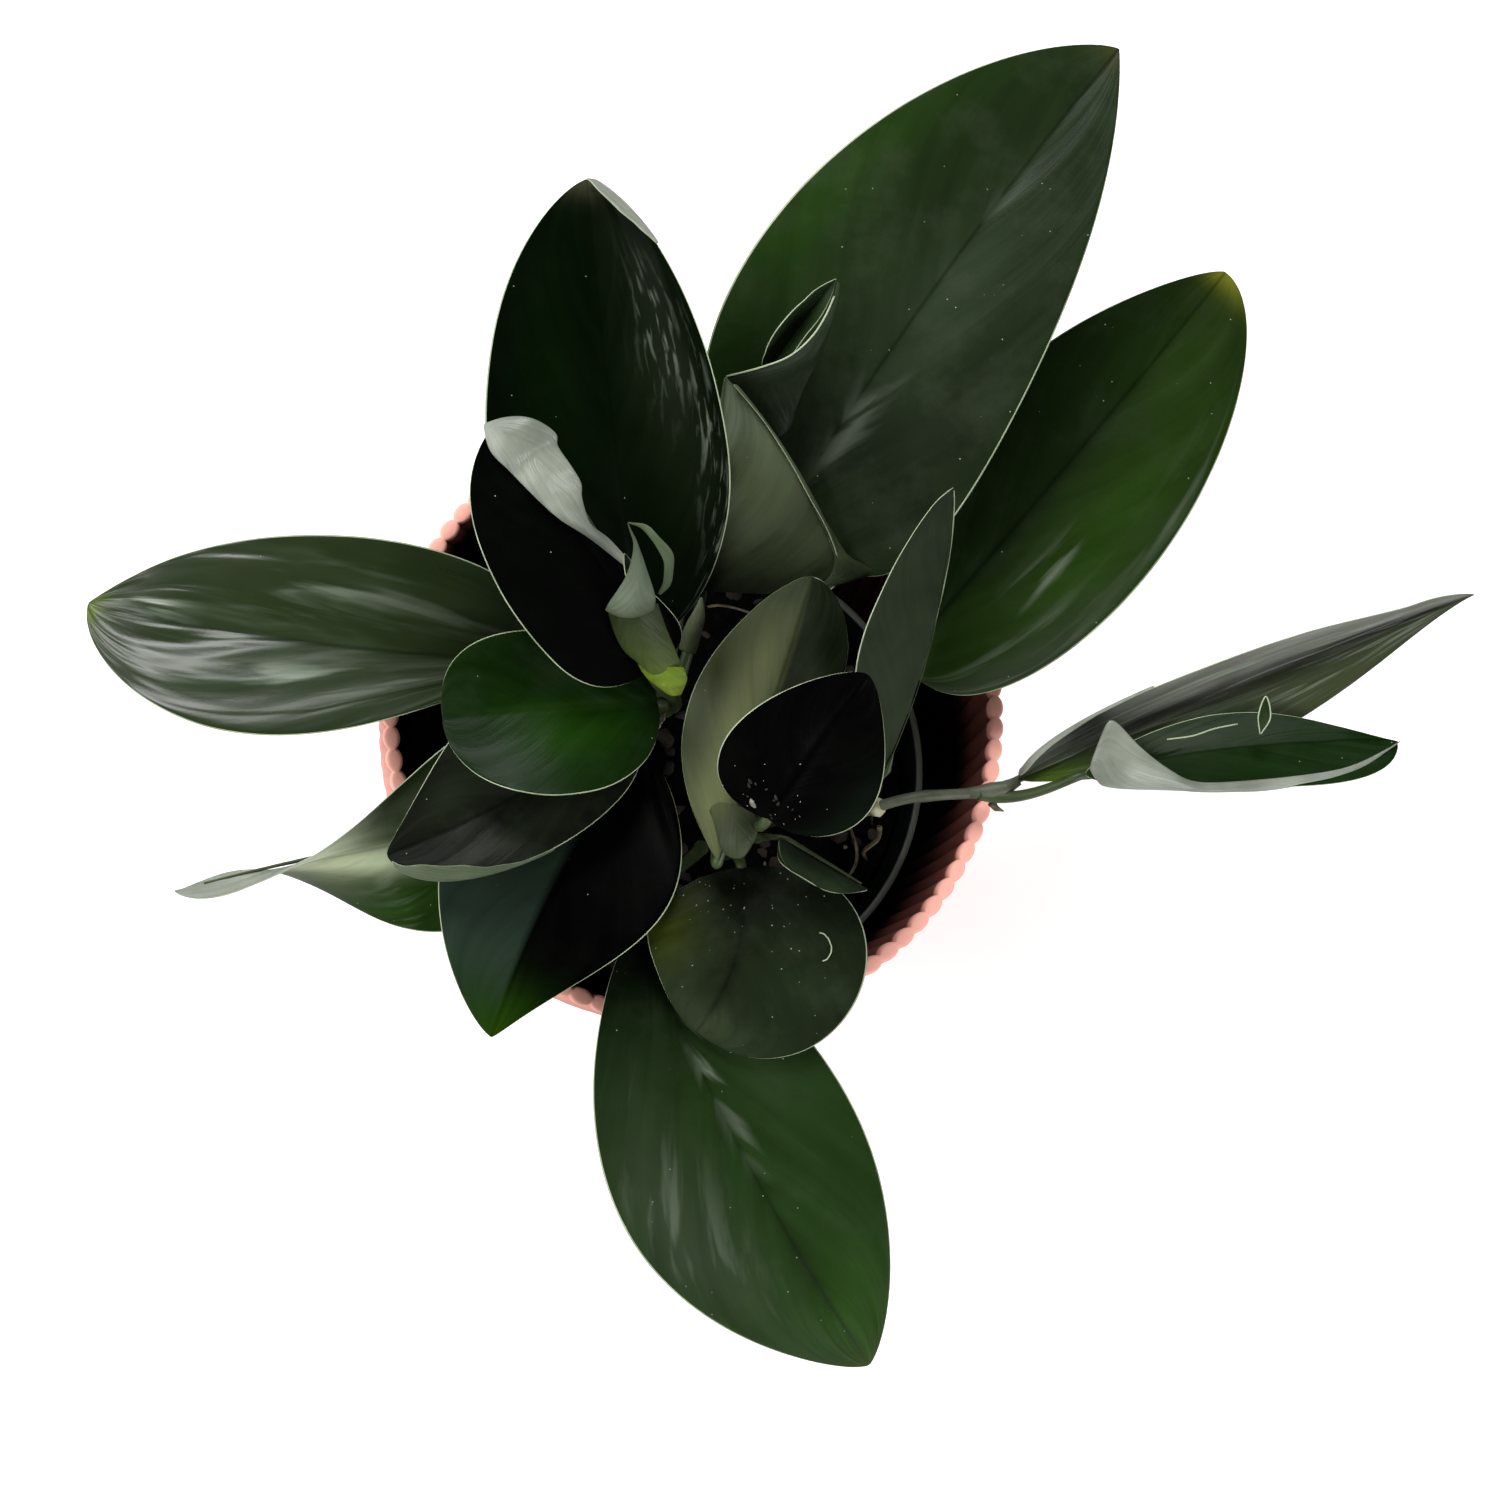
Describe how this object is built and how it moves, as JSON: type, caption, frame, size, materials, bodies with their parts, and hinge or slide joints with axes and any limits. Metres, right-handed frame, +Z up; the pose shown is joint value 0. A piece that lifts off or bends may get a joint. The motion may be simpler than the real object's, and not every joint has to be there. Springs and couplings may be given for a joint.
{
  "type": "potted scindapsus house plant",
  "caption": "Dark-leaved scindapsus in a black nursery pot, standing inside a matte pink fluted outer pot.",
  "frame": {"origin": "centre of the outer pot's foot, on the surface it stands on", "axes": "+Z up the outer pot's centre line; the runner hangs out towards +X and the largest leaf points to +Y"},
  "size_m": [0.3782, 0.3526, 0.2284],
  "materials": {
    "pot_pink": "soft matte salmon pink, slightly darker inside",
    "liner_black": "thin moulded black plastic with a faint sheen",
    "soil": "dark damp potting mix with bark, roots and pale grit",
    "stem_green": "smooth satin green stem with pale nodes",
    "root_brown": "pale dry aerial root",
    "leaf_dark": "thick near-black green leaf, glossy, with a thin pale margin",
    "leaf_green": "thick mid green leaf, glossy, with a thin pale margin",
    "leaf_young": "pale grey-green satin leaf underside"
  },
  "bodies": {
    "root": {"outer_pot": "pot_pink", "nursery_pot": "liner_black", "soil": "soil", "stem_left": "stem_green", "stem_front": "stem_green", "stem_right": "stem_green", "runner": "stem_green", "aerial_root": "root_brown", "leaf_top_right_large": "leaf_dark", "leaf_top_left": "leaf_dark", "leaf_right": "leaf_green", "leaf_left_long": "leaf_dark", "leaf_left_black": "leaf_dark", "leaf_centre_green": "leaf_green", "leaf_left_folded": "leaf_dark", "leaf_left_twisted": "leaf_green", "leaf_lower_left": "leaf_dark", "leaf_front_round": "leaf_dark", "leaf_bottom_large": "leaf_green", "leaf_centre_black": "leaf_dark", "leaf_centre_upright": "leaf_young", "leaf_rolled": "leaf_young", "leaf_funnel": "leaf_young", "leaf_right_upright": "leaf_dark", "leaf_runner_tip": "leaf_dark", "leaf_runner_boat": "leaf_green", "leaf_young_furled": "leaf_young", "leaf_young_front": "leaf_young"}
  },
  "joints": []
}
